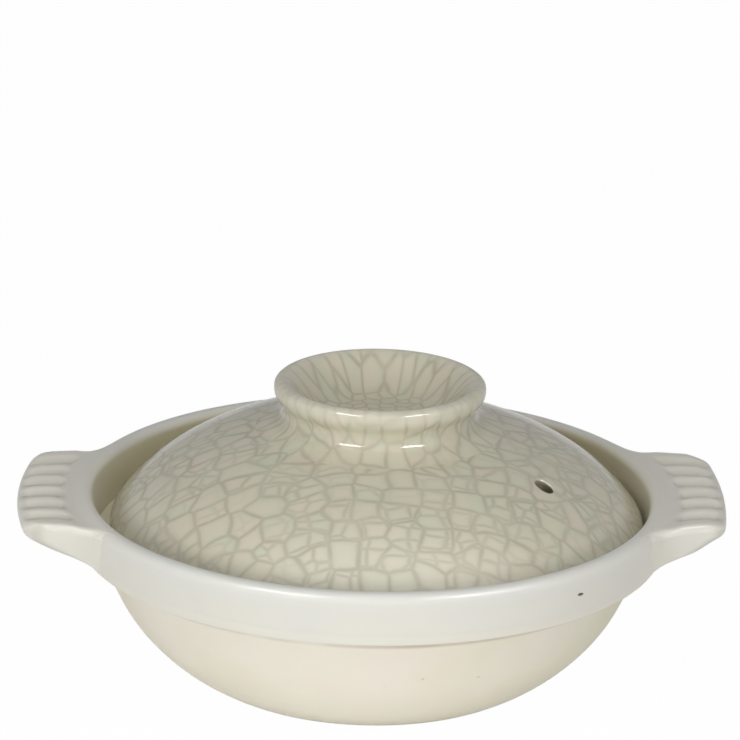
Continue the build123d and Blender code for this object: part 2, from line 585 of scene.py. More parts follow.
def new_material(name: str) -> tuple[bpy.types.Material, Bench]:
    """Make an empty node material.

    Args:
        name: Name of the material.

    Returns:
        The material and its bench.
    """
    material = bpy.data.materials.new(name)
    material.use_nodes = True
    return material, Bench(material.node_tree)


@dataclass(frozen=True)
class SatinGlaze:
    """The satin off-white glaze of the lip, the band and the lugs."""

    ivory: Colour = paint(230, 228, 217)
    grey: Colour = paint(223, 222, 214)
    cream: Colour = paint(228, 223, 208)
    thick: Colour = paint(227, 227, 221)
    warm: Colour = paint(234, 231, 218)
    bare: Colour = paint(235, 228, 214)
    bare_height: float = 47.7
    thick_from: float = 50.0
    beside_from: tuple[float, float] = (76.0, 96.0)
    right_from: tuple[float, float] = (-10.0, 45.0)
    lug_from: tuple[float, float] = (88.0, 93.0)
    roughness: float = 0.3

    def skin(self, bench: Bench) -> Skin:
        """Ivory that drifts to grey and cream, cooler where it is thick, with an orange-peel relief.

        The coat is thin on the bead at the band's lower edge, so the clay shows through there, more at the
        right.

        Args:
            bench: Bench of the material.

        Returns:
            The finish.
        """
        place = bench.place()
        across, height = bench.split(place, 0, 2)
        thick = height.past(self.thick_from, GAUGE.rim_height)
        beside = across.beyond(*self.beside_from)
        cool = bench.noise(place, size=45, detail=2, lift=1.0).step(0.45, 0.75)
        warm = bench.noise(place, size=30, detail=3, lift=4.0).step(0.5, 0.8)
        thin = bench.mix(warm * 0.6, bench.mix(cool * 0.8, self.ivory, self.grey), self.cream)
        colour = bench.mix(thick * (1 - warm * 0.4) * 0.9, thin, self.thick)
        colour = bench.mix(beside * 0.85, colour, self.warm)
        bead = 1 - height.past(self.bare_height - 0.5, self.bare_height)
        right = across.past(*self.right_from) * 0.4 + 0.2
        inland = 1 - across.past(*self.lug_from)
        colour = bench.mix(bead * right * inland, colour, self.bare)
        peel = bench.noise(place, size=3.5, detail=1, lift=7.0)
        sag = bench.noise(place, size=16, detail=1, lift=9.0)
        cloud = bench.noise(place, size=12, detail=3, lift=11.0)
        return Skin(colour, cloud * 0.08 + (self.roughness - 0.04), peel * 0.012 + sag * 0.06)


@dataclass(frozen=True)
class BareClay:
    """The unglazed cream clay of the lower bowl."""

    cream: Colour = paint(240, 235, 220)
    pink: Colour = paint(243, 233, 221)
    straw: Colour = paint(235, 230, 207)
    fleck: Colour = paint(214, 204, 184)
    # Painted shade for the thin line under the band; the small pits take the same colour.
    crease_shade_and_pits: Colour = paint(198, 188, 170)
    crease_shade_from: tuple[float, float] = (40.4, 41.7)
    right_from: tuple[float, float] = (-20.0, 25.0)
    right_until: tuple[float, float] = (66.0, 80.0)
    roughness: float = 0.78

    def skin(self, bench: Bench) -> Skin:
        """Cream clay with pink and straw flushes, fine grain and the rings that the thrower's fingers left.

        Right under the band a thin dark line is painted shade, the band's shadow on the undercut, stronger
        in some stretches.

        Args:
            bench: Bench of the material.

        Returns:
            The finish.
        """
        place = bench.place()
        flat = bench.vector("MULTIPLY", place, (0.12, 0.12, 1.0))
        pink = bench.noise(place, size=42, detail=2, lift=2.0).step(0.46, 0.7)
        straw = bench.noise(place, size=48, detail=3, lift=5.0).step(0.46, 0.7)
        across, height = bench.split(place, 0, 2)
        # Painted shade: the band's shadow as a thin dark line just under it, stronger in some stretches and
        # at the right.
        above = height.past(*self.crease_shade_from)
        right = across.past(*self.right_from) * (1 - across.past(*self.right_until) * 0.6)
        drift = bench.noise(place, size=28, detail=2, lift=21.0).step(0.34, 0.6)
        crease_shade = above * (drift * 0.35 + 0.15 + right * 0.5)
        rings = bench.noise(flat, size=3.4, detail=2, lift=8.0)
        grain = bench.noise(place, size=0.7, detail=3, roughness=0.6, lift=10.0)
        tone = bench.mix(straw * 0.8, bench.mix(pink * 0.8, self.cream, self.pink), self.straw)
        flecked = bench.mix(grain.step(0.62, 0.8) * 0.25, tone, self.fleck)
        pits = bench.noise(place, size=2.4, detail=1, lift=23.0).step(0.77, 0.84)
        colour = bench.mix(crease_shade.over(pits * 0.5), flecked, self.crease_shade_and_pits)
        relief = rings * 0.25 + grain * 0.035 - pits * 0.12
        return Skin(colour, grain * 0.1 + (self.roughness - 0.05), relief)


@dataclass(frozen=True)
class Speck:
    """An iron speck that has burnt through the glaze."""

    place: tuple[float, float, float]
    length: float = 2.9
    height: float = 1.15
    tilt: float = -8.0

    def mask(self, bench: Bench) -> Wire:
        """1 inside the speck's ellipse, which lies along the wall and tilts, and 0 outside.

        Args:
            bench: Bench of the material.

        Returns:
            The mask's wire.
        """
        across = math.atan2(self.place[1], self.place[0]) + math.pi / 2
        settings = {"vector_type": "TEXTURE"}
        sockets = {
            "Vector": bench.place(),
            "Location": tuple(value * MM for value in self.place),
            "Rotation": (0.0, -math.radians(self.tilt), across),
            "Scale": (self.length * MM / 2, self.length * MM / 2, self.height * MM / 2),
        }
        local = bench.node("ShaderNodeMapping", settings, sockets).outputs[0]
        distance = bench.wire("ShaderNodeVectorMath", {"operation": "LENGTH"}, {0: local}, "Value")
        ragged = bench.noise(bench.place(), size=0.6, detail=2, lift=3.0)
        return (distance + (ragged - 0.5) * 0.7).step(1.05, 0.75)


@dataclass(frozen=True)
class BowlFinish:
    """Satin glaze over the band, the lip and the inside, and bare clay below the band."""

    satin: SatinGlaze = SatinGlaze()
    clay: BareClay = BareClay()
    # Olive tint of the gallery: partly glaze that has run together there, partly painted shade and bounced
    # light.
    pooled_glaze_and_shade: Colour = paint(234, 226, 192)
    # Painted shade: the darker olive of the gallery towards the back, partly glaze that has run together.
    deep_pool_and_shade: Colour = paint(176, 168, 138)
    iron: Colour = paint(92, 84, 52)
    speck: Speck = Speck((62.9, -76.9, 54.0))

    def material(self, name: str) -> bpy.types.Material:
        """Build the material.

        The stored marks are the glaze's cover and two shares of an olive tint in the gallery, which is
        partly glaze that has run together there and partly painted shade, the second share darker and most
        at the back.
        The glaze covers the points whose cover is above a half, with a soft edge.

        Args:
            name: Name of the material.

        Returns:
            The material.
        """
        material, bench = new_material(name)
        glaze, clay = self.satin.skin(bench), self.clay.skin(bench)
        coat, pool_and_shade, deep_pool_and_shade = bench.split(bench.stored("glaze_marks"), 0, 1, 2)
        ragged = bench.noise(bench.place(), size=5, detail=3, lift=12.0)
        coat = (coat + (ragged - 0.5) * 0.3).step(0.42, 0.58)
        speck = self.speck.mask(bench)
        # Painted shade in the gallery, partly glaze that has run together there: an olive tint, darker
        # towards the back.
        pooled_glaze_and_shade = bench.mix(deep_pool_and_shade, bench.mix(pool_and_shade, glaze.colour, self.pooled_glaze_and_shade), self.deep_pool_and_shade)
        colour = bench.mix(speck, bench.mix(coat, clay.colour, pooled_glaze_and_shade), self.iron)
        roughness = clay.roughness * (1 - coat) + glaze.roughness * coat
        relief = clay.relief * (1 - coat) + glaze.relief * coat + coat * 0.15 - speck * 0.1
        shade(name, bench, Skin(colour, roughness, relief))
        return material


@dataclass(frozen=True)
class LugFinish:
    """Satin glaze, with painted shade in the grooves and on the edges, and painted light on the side faces.
    """

    satin: SatinGlaze = SatinGlaze()
    # Painted shade for the grooves and the rounded edges.
    hollow: Colour = paint(192, 190, 177)
    # Painted light for the side faces.
    face: Colour = paint(238, 236, 226)

    def material(self, name: str) -> bpy.types.Material:
        """Build the material. The stored depth is 1 in the grooves, and the stored side 1 on the side faces.

        The depth paints shade, and the side paints light.

        Args:
            name: Name of the material.

        Returns:
            The material.
        """
        material, bench = new_material(name)
        glaze = self.satin.skin(bench)
        depth, side = (Wire(bench, bench.stored(key, "Fac")) for key in ("depth", "side"))
        # Painted shade in the grooves and along the edges, and painted light on the side faces.
        colour = bench.mix(depth * 0.8, bench.mix(side * 0.8, glaze.colour, self.face), self.hollow)
        shade(name, bench, Skin(colour, glaze.roughness, glaze.relief))
        return material


@dataclass(frozen=True)
class CrackleGlaze:
    """A glossy grey-beige glaze with a net of stained cracks: long ones, and finer ones between them."""

    beige: Colour = paint(214, 209, 187)
    green: Colour = paint(207, 208, 186)
    pink: Colour = paint(216, 207, 188)
    stain: Colour = paint(138, 131, 108)
    # Painted shade for the inside of the vent's bore; the knob's neck takes a little of it.
    bore: Colour = paint(112, 107, 86)
    pale_where_plain: Colour = paint(221, 217, 199)
    # Painted light for the dome's lower front, which faces the lamps.
    light: Colour = paint(236, 232, 214)
    first_cell: float = 9.4
    second_cell: float = 6.2
    first_line: float = 1.3
    second_line: float = 1.1
    first_strength: float = 0.29
    second_strength: float = 0.23
    halo_strength: float = 0.1
    bend_size: float = 15.0
    bend: float = 4.5
    free_from: tuple[float, float] = (20.0, 55.0)
    # Where the painted light on the dome's lower front lies, along Y and then across X.
    lit_front_from: tuple[float, float] = (-58.0, -84.0)
    lit_front_until: tuple[float, float] = (64.0, 20.0)
    roughness: float = 0.07

    def _net(self, bench: Bench, vector: Any, size: float, uneven: float) -> tuple[Any, Any, Wire]:
        """One net of cells.

        Args:
            bench: Bench of the material.
            vector: Where to read the net, in metres.
            size: Width of a cell, in millimetres.
            uneven: How irregular the cells are, 0 to 1.

        Returns:
            The cells' own random colours, their middles, and the distance to the nearest crack, in
            millimetres.
        """
        sockets = {"Vector": vector, "Scale": 1 / (size * MM), "Randomness": uneven}
        cell = bench.node("ShaderNodeTexVoronoi", {"voronoi_dimensions": "2D", "feature": "F1"}, sockets)
        settings = {"voronoi_dimensions": "2D", "feature": "DISTANCE_TO_EDGE"}
        gap = bench.wire("ShaderNodeTexVoronoi", settings, sockets) * size
        return cell.outputs["Color"], cell.outputs["Position"], gap

    def _parted(self, bench: Bench, bent: Any, own: Any, middle: Any) -> tuple[Any, Wire]:
        """The second net, which parts each cell of the first one in its own way.

        It is turned about the cell's middle, only a little near the pot's front and back, drawn out
        sideways and shifted by the cell's random values, so its cracks end on the first ones.

        Args:
            bench: Bench of the material.
            bent: Where to read the net, in metres.
            own: The first cell's random colour.
            middle: The first cell's middle.

        Returns:
            The second cells' random colours, and the distance to their cracks in millimetres.
        """
        turn, stretch = bench.split(own, 0, 1)
        (aside,) = bench.split(middle, 0)
        free = aside.beyond(*self.free_from)
        angle = (turn - 0.5) * (free * 1.3 + 0.3)
        local = bench.vector("SUBTRACT", bent, middle)
        sockets = {"Vector": local, "Angle": angle}
        spun = bench.node("ShaderNodeVectorRotate", {"rotation_type": "Z_AXIS"}, sockets)
        scale = bench.node("ShaderNodeCombineXYZ", None, {0: stretch * 0.3 + 0.75, 1: 1.2 - stretch * 0.3})
        drawn = bench.vector("MULTIPLY", spun.outputs[0], scale.outputs[0])
        place = bench.vector("ADD", drawn, bench.scaled(own, 0.7))
        tint, _, gap = self._net(bench, place, self.second_cell, 0.5)
        return tint, gap

    def material(self, name: str) -> bpy.types.Material:
        """Build the material. Both nets lie on the stored map of the surface, bent a little by noise.

        The stored marks say where the crackle is faint, where painted shade darkens the vent's bore and, a
        little, the knob's neck under its lip, and where the cells of the first net are parted again.

        Args:
            name: Name of the material.

        Returns:
            The material.
        """
        material, bench = new_material(name)
        stored = bench.stored("glaze_map")
        plain, bore, parted = bench.split(bench.stored("glaze_marks"), 0, 1, 2)
        place = bench.place()
        sockets = {"Vector": stored, "Scale": 1 / (self.bend_size * MM), "Detail": 1.0, "Roughness": 0.4}
        flow = bench.node("ShaderNodeTexNoise", {"noise_dimensions": "2D"}, sockets).outputs["Color"]
        shift = bench.scaled(bench.vector("SUBTRACT", flow, (0.5, 0.5, 0.5)), self.bend * MM)
        bent = bench.vector("MULTIPLY", bench.vector("ADD", stored, shift), (0.9, 1.12, 1.0))
        own, middle, first = self._net(bench, bent, self.first_cell, 0.7)
        tint, second = self._parted(bench, bent, own, middle)
        (chance,) = bench.split(own, 2)
        again = chance.step(0.1, 0.6) * parted
        bold = bench.noise(place, size=9, detail=2, lift=6.0).step(0.2, 0.8) * 0.9 + 0.5
        thick = first.step(self.first_line, 0.0) * bold * self.first_strength
        thin = second.step(self.second_line, 0.0) * bold * again * self.second_strength
        halo = first.step(3.0, 0.2).over(second.step(2.4, 0.2) * again) * self.halo_strength
        crack = thick.over(thin) * (1 - plain * 0.75)
        hue, depth = bench.split(tint, 0, 1)
        wide = bench.noise(place, size=40, detail=2, lift=13.0)
        greenish = (hue * 0.6 + wide * 0.9 - 0.35).step(0.2, 0.8)
        pinkish = (depth * 0.8 + (1 - wide) * 0.5 - 0.2).step(0.35, 0.85)
        body = bench.mix(pinkish * 0.8, bench.mix(greenish * 0.85, self.beige, self.green), self.pink)
        # Paler where the crackle is faint.
        pale = bench.mix(plain * 0.5, body, self.pale_where_plain)
        # Painted light: the dome's lower front is made paler, as lit from the front.
        across, ahead = bench.split(place, 0, 1)
        front = ahead.past(*self.lit_front_from) * across.beyond(*self.lit_front_until)
        pale = bench.mix(front * 0.55, pale, self.light)
        stained = bench.mix(crack, bench.mix(halo, pale, self.stain), self.stain)
        # Painted shade: the vent's bore, and faintly the knob's neck, darkened with the bore colour.
        colour = bench.mix(bore, stained, self.bore)
        relief = bench.noise(place, size=9, detail=1, lift=15.0) * 0.03 - thick.over(thin) * 0.008
        rough = bench.noise(place, size=10, detail=2, lift=17.0) * 0.05 + (self.roughness - 0.025)
        shade(name, bench, Skin(colour, rough, relief))
        return material


@dataclass
class Piece:
    """A finished piece: its shell, its material, and what it stands for."""

    name: str
    shell: Shell
    material: bpy.types.Material
    body: Body
    slot: Slot
    node: str

    def place(self) -> bpy.types.Object:
        """Make the object, dress it, and let it ride in its node's place.

        Returns:
            The object.
        """
        made = self.shell.to_object(self.name)
        made.data.materials.append(self.material)
        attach(made, self.body.value)
        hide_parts(self.node)
        triangles = sum(len(face.vertices) - 2 for face in made.data.polygons)
        told = (self.name, triangles, self.node, self.body.value)
        log.info("piece %s: %d triangles, stands for %s, rides on %s", *told)
        return made


@dataclass
class PotBowl:
    """The bowl: foot, belly, flared wall, undercut, beaded band, round lip, gallery, ledge and inside."""

    band_edge_radius: float = 98.1
    band_edge_height: float = 44.8
    bead_rise: float = 3.2
    bead_depth: float = 0.5
    score_depth: float = 0.1
    score_half: float = 0.4
    undercut_depth: float = 5.6
    undercut_height: float = 0.6
    wall_radius: float = 86.2
    wall_height: float = 30.0
    belly_radius: float = 79.1
    belly_height: float = 18.2
    foot_radius: float = 57.0
    ring_width: float = 8.0
    recess: float = 1.2
    floor: float = 7.5
    floor_turn: float = 25.0
    wall: float = 5.4
    seat_radius: float = 93.0
    ledge_edge: float = 3.7
    gallery: tuple[float, float] = (80.0, 86.0)
    pool_and_shade_top: float = 62.4
    pool_and_shade_full: float = 58.0
    pool_and_shade_rise: float = 2.6
    pool_and_shade_turn: float = 0.35
    unevenness: float = 0.08
    turns: int = 288

    def profile(self) -> Array:
        """Draw the bowl's half section, from the middle of the floor over the lip to that of the underside.

        Returns:
            Rows of radius and height.
        """
        rim, lip = GAUGE.rim_radius, GAUGE.lip_radius
        edge_radius, edge_height = self.band_edge_radius, self.band_edge_height
        top_radius, top_height = edge_radius - self.undercut_depth, edge_height - self.undercut_height
        slope = math.atan2(top_height - self.belly_height, top_radius - self.belly_radius)

        def inside(height: float) -> float:
            """Radius of the straight inner wall at a height."""
            return top_radius - (top_height - height) / math.tan(slope) - self.wall / math.sin(slope)

        ledge = GAUGE.ledge_height
        cut = self.floor_turn * math.tan(slope / 2)
        corner = inside(self.floor)
        pen = Pen((0, self.floor)).line((corner - cut, self.floor))
        pen.arc((corner + cut * math.cos(slope), self.floor + cut * math.sin(slope)))
        pen.line((inside(ledge - self.ledge_edge), ledge - self.ledge_edge))
        pen.line((inside(ledge - self.ledge_edge), ledge), (self.seat_radius, ledge))
        lip_height = GAUGE.rim_height - lip
        pen.line((rim - 2 * lip, lip_height)).arc((rim - lip, GAUGE.rim_height), (0, 1))
        pen.arc((rim, lip_height))
        bead, rise, score = edge_radius + self.bead_depth, edge_height + self.bead_rise, self.score_half
        pen.line((bead + 0.08, rise + score), (bead - self.score_depth, rise), (bead - 0.05, rise - score))
        pen.line((edge_radius, edge_height), (top_radius, top_height), (self.wall_radius, self.wall_height))
        pen.arc((self.belly_radius, self.belly_height)).arc((self.foot_radius, 0))
        inner = self.foot_radius - self.ring_width
        pen.line((inner, 0), (inner, self.recess), (0, self.recess))
        return pen.points()

    def shell(self) -> Shell:
        """Turn the profile about the pot's axis and store where the glaze lies.

        The glaze covers the outside down to the band's lower edge. In the gallery an olive tint is stored
        that is partly glaze that has run together there and partly painted shade, up to the tint's top and
        most at the back.

        Returns:
            The bowl's shell.
        """
        kept = finished(self.profile(), reach=0.22, far=2.8, turn=7, spacing=0.1)
        kept[:, 1] = np.maximum(kept[:, 1], 0)
        angles = np.linspace(0, 2 * np.pi, self.turns, endpoint=False)
        rows = kept[1:-1]
        free = smooth(0, 25, rows[:, :1]) * smooth(1, 12, rows[:, 1:])
        waves = self.unevenness * free * (wander(angles, rows[:, 1:], seed=0.7) - 1)
        points, faces = turned(kept, angles, waves)
        outside = np.argmax(rows[:, 0])
        number = np.arange(len(rows))
        glazed = np.where(number <= outside, 1.0, smooth(-1.4, 0.6, rows[:, 1] - self.band_edge_height))
        # The gallery's olive tint is partly glaze that has run together and partly painted shade, strongest
        # at the back.
        seat = smooth(*self.gallery, rows[:, 0]) * (number < np.argmax(rows[:, 1]))
        behind = np.sin(angles + self.pool_and_shade_turn)
        full = self.pool_and_shade_full + self.pool_and_shade_rise * smooth(0.4, 0.8, behind)
        pool_and_shade = seat[:, None] * smooth(self.pool_and_shade_top, full, rows[:, 1:])
        pool_and_shade = pool_and_shade * (0.1 + 0.9 * smooth(-0.3, 0.8, np.sin(angles)))
        deep_pool_and_shade = 0.8 * pool_and_shade * smooth(-0.1, 0.9, behind)
        marks = np.stack([np.broadcast_to(glazed[:, None], pool_and_shade.shape), pool_and_shade, deep_pool_and_shade], -1).reshape(-1, 3)
        return Shell(points, faces, {"glaze_marks": np.concatenate([marks, [[1.0, 0, 0], [0, 0, 0]]])})

    def build(self) -> bpy.types.Object:
        """Make and dress the bowl."""
        finish = BowlFinish().material("bowl_glaze_and_clay")
        return Piece("bowl", self.shell(), finish, Body.POT, Slot.CLAY, "pot_bowl").place()


@dataclass
class Lug:
    """A lug: a slab with a dipped saddle behind the lip, fingered by grooves, that rolls over at its nose.

    Its section lies in a plane through the pot's axis. A second parameter carries the section across the
    lug, and a map then narrows it downwards, bows its end, rounds its corners and flares its root into the
    band. The band line tells how far out from the rim circle the band's face lies at the band heights.
    """

    side: Side
    reach: float = 118.8
    root_half: float = 39.0
    tip_half: float = 37.6
    draft: float = 29.0
    end_radius: float = 175.0
    skew: float = 0.0
    corner: float = 8.0
    back_corner: float = 5.6
    front_round: float = 3.6
    back_round: float = 3.1
    root_fillet: float = 7.0
    root_run: float = 14.0
    top: float = 62.5
    dip: float = 0.75
    nose_drop: float = 5.05
    shoulder_drop: float = 0.75
    grooves: int = 6
    groove_share: float = 0.28
    groove_depth: float = 2.1
    groove_wander: float = 0.012
    groove_blunt: float = 0.012
    groove_strength: tuple[float, float] = (0.85, 1.1)
    groove_ends: tuple[float, float] = (2.6, 18.6)
    band_heights: tuple[float, ...] = (44.8, 48.0, 59.3, 62.5)
    band_line: tuple[float, ...] = (-2.15, -1.65, -0.25, -2.45)
    cap_middle: tuple[float, float] = (9.0, 55.7)
    cap_rings: int = 24
    edge_slices: int = 13
    seed: int = 3
    section_points: int = 170
    slices: int = 170

    def section(self) -> Array:
        """The lug's section, as points outward of the rim and height, joined by a smooth closed curve.

        Between two knots the curve is the cubic that passes both with half the chord of their outer
        neighbours as its tangents.

        Returns:
            Rows of distance out from the rim circle, and height.
        """
        out, top = self.reach - GAUGE.rim_radius, self.top
        dip, drop, nose = self.dip, self.shoulder_drop, self.nose_drop
        knots = np.array([
            (-5.4, top - 5.0), (-4.8, top - 1.8), (-4.0, top - 0.2), (-3.0, top - 0.04), (-2.0, top - 0.2),
            (-1.0, top - 0.55 * dip), (0.6, top - 0.95 * dip), (2.4, top - dip), (4.4, top - 0.6 * dip),
            (6.2, top - 0.1), (8.2, top),
            (11.0, top), (13.8, top - 0.1), (16.4, top - drop), (out - 0.4, top - 0.45 * drop - 0.45 * nose),
            (out, top - nose), (out - 0.7, top - nose - 2.0), (out - 2.8, top - nose - 3.8),
            (10.5, top - 11.9), (4.8, top - 14.1), (1.6, top - 15.3), (-0.4, top - 16.1),
            (-2.2, top - 16.8), (-4.0, top - 16.2), (-5.4, top - 13.0), (-5.6, top - 9.0),
        ])
        before, after = np.roll(knots, 1, 0), np.roll(knots, -1, 0)
        tangent = (after - before) / 2
        share = np.linspace(0, 1, 12, endpoint=False)[None, :, None]
        start, end = knots[:, None], after[:, None]
        start_tangent, end_tangent = tangent[:, None], np.roll(tangent, -1, 0)[:, None]
        curve = (2 * share**3 - 3 * share**2 + 1) * start + (share**3 - 2 * share**2 + share) * start_tangent
        curve = curve + (3 * share**2 - 2 * share**3) * end + (share**3 - share**2) * end_tangent
        dense = curve.reshape(-1, 2)
        closed = np.concatenate([dense, dense[:1]])
        along = lengths(closed)
        even = np.linspace(0, along[-1], self.section_points, endpoint=False)
        return np.stack([np.interp(even, along, closed[:, axis]) for axis in (0, 1)], 1)

    def half_width(self, out: Array, height: Array) -> Array:
        """Half the lug's width. It narrows outwards and downwards, and flares where it meets the band.

        The flare is a quarter ellipse.

        Args:
            out: Distance out from the rim circle.
            height: Height.

        Returns:
            Half width at each point.
        """
        end = self.reach - GAUGE.rim_radius
        plain = self.root_half + (self.tip_half - self.root_half) * out / end
        plain = plain - (self.top - height) * math.tan(math.radians(self.draft))
        band = np.interp(height, self.band_heights, self.band_line)
        near = np.clip((band + self.root_run - out) / self.root_run, 0, 1)
        return plain + self.root_fillet * (1 - np.sqrt(1 - near**2))

    def placed(self, across: Array, out: Array, height: Array) -> Array:
        """Carry the slab's own coordinates to the pot.

        Args:
            across: Share of the half width, -1 to 1.
            out: Distance out from the rim circle at the lug's middle.
            height: Height.

        Returns:
            Points in the pot's frame.
        """
        end = self.reach - GAUGE.rim_radius
        y = across * self.half_width(out, height)
        tip_y = np.clip(np.abs(across), 0, 1) * self.tip_half
        bow = self.end_radius - np.sqrt(self.end_radius**2 - tip_y**2)
        corner = np.where(across > 0, self.back_corner, self.corner)
        turn = np.clip((tip_y - self.tip_half + corner) / corner, 0, 1)
        tip_x = self.reach - bow - corner * (1 - (1 - turn**2.2) ** 0.5)
        tip_x = tip_x + self.skew * np.clip(across, -1, 1)
        root_x = np.sqrt(GAUGE.rim_radius**2 - y**2)
        x = root_x + out * np.where(out > 0, (tip_x - root_x) / end, 1.0)
        return np.stack([self.side.value * x, y, height], -1)

    def fingers(self, across: Array, out: Array, height: Array) -> Array:
        """How far in the grooves are cut, 0 to 1.

        Across the lug the depth is 1 - (sin^2(pi d / pitch) + blunt)^0.6 with d the distance to the nearest
        groove. It starts in the saddle and dies away on the nose.

        Args:
            across: Share of the half width.
            out: Distance out from the rim circle.
            height: Height.

        Returns:
            The share of the full groove depth.
        """
        random = np.random.default_rng(self.seed)
        numbers = np.arange(self.grooves) - (self.grooves - 1) / 2
        lines = numbers * self.groove_share
        lines = lines + random.uniform(-self.groove_wander, self.groove_wander, self.grooves)
        strength = random.uniform(*self.groove_strength, self.grooves)
        gap = np.abs(across[..., None] - lines) / self.groove_share
        wave = np.sin(np.pi * np.clip(gap, 0, 0.5)) ** 2 + self.groove_blunt
        cut = ((1 - np.clip(wave, 0, 1) ** 0.6) * strength).max(-1)
        upper = smooth(self.top - 6, self.top - 3, height)
        start, end = self.groove_ends
        run = smooth(start, start + 2.4, out) * smooth(end, end - 3.2, out)
        return cut * run * upper

    def _slices(self) -> tuple[Array, Array]:
        """Where the section is laid across the lug: in even steps, and in finer ones round both edges.

        Returns:
            Shares of the half width in a column, and how far each has turned round its edge, 0 to 1.
        """
        front, back = self.front_round / self.tip_half, self.back_round / self.tip_half
        bend = np.sin(np.linspace(0, np.pi / 2, self.edge_slices + 1)[1:])
        middle = np.linspace(front - 1, 1 - back, self.slices)
        across = np.concatenate([(front - 1 - front * bend)[::-1], middle, 1 - back + back * bend])[:, None]
        turn = np.where(across < 0, (front - 1 - across) / front, (across - 1 + back) / back)
        return across, np.clip(turn, 0, 1)

    def shell(self) -> Shell:
        """Carry the section across the lug, round both edges and close both side faces.

        Near each side the section is set in by e (1 - sqrt(1 - t^2)), t being the share of the edge that it
        has turned. On the side faces it shrinks to its middle.

        Returns:
            The lug's shell.
        """
        section = self.section()
        out, height = section.T[:, None]
        across, turn = self._slices()
        reach = np.where(across < 0, self.front_round, self.back_round) * (1 - 0.5 * smooth(13, 19, out))
        reach = reach * (0.4 + 0.6 * smooth(self.top - 10, self.top - 5, height))
        inset = reach * (1 - np.sqrt(1 - turn**2)) * smooth(-2.5, 2.5, out)
        depth = self.fingers(across, np.broadcast_to(out, inset.shape), height)
        step = np.roll(section, -1, 0) - np.roll(section, 1, 0)
        inwards = np.stack([-step[:, 1], step[:, 0]]) / np.hypot(*step.T) * np.sign(self._area(section))
        grid = np.stack([out, height]) + (inset + self.groove_depth * depth) * inwards[:, None]
        shrink = np.cos(np.linspace(0, np.pi / 2, self.cap_rings + 2)[1:-1])[:, None]
        middle = np.array(self.cap_middle)[:, None, None]
        left, right = (middle + shrink * (grid[:, ends] - middle) for ends in (slice(1), slice(-1, None)))
        grid = np.concatenate([left[:, ::-1], grid, right], 1)
        more = ((self.cap_rings, self.cap_rings), (0, 0))
        body = self.placed(np.broadcast_to(np.pad(across, more, "edge"), grid[0].shape), *grid)
        tips = self.placed(np.array((-1.0, 1.0)), *np.broadcast_to(middle[:, 0], (2, 2)))
        index = np.arange(body[..., 0].size).reshape(body.shape[:2])
        points = np.concatenate([body.reshape(-1, 3), tips])
        # Painted shade: the stored depth greys the grooves, and up to half as much the middle of each
        # rounded edge.
        shaded = depth + 0.5 * smooth(0, 0.45, turn) * smooth(1, 0.55, turn) * smooth(1, 4, out)
        # Painted light: the stored side whitens the side faces, fading out towards the rim.
        side = np.pad(np.broadcast_to(smooth(0.7, 1, turn), depth.shape), more, constant_values=1)
        side = np.append(side, (1, 1)) * smooth(1, 7, np.hypot(*points[:, :2].T) - GAUGE.rim_radius)
        values = {"depth": np.append(np.pad(shaded, more), (0, 0)), "side": side}
        return Shell(points, capped(index, index.size), values)

    @staticmethod
    def _area(loop: Array) -> float:
        """Area of a closed loop, positive if it runs anticlockwise."""
        following = np.roll(loop, -1, 0)
        return float((loop[:, 0] * following[:, 1] - following[:, 0] * loop[:, 1]).sum() / 2)

    def build(self) -> bpy.types.Object:
        """Make and dress the lug.

        Returns:
            The lug's object.
        """
        name = self.side.name.lower()
        finish = LugFinish().material(f"{name}_lug_glaze")
        title, node = f"{name}_lug_dressed", f"{name}_lug"
        return Piece(title, self.shell(), finish, Body.POT, Slot.SATIN, node).place()


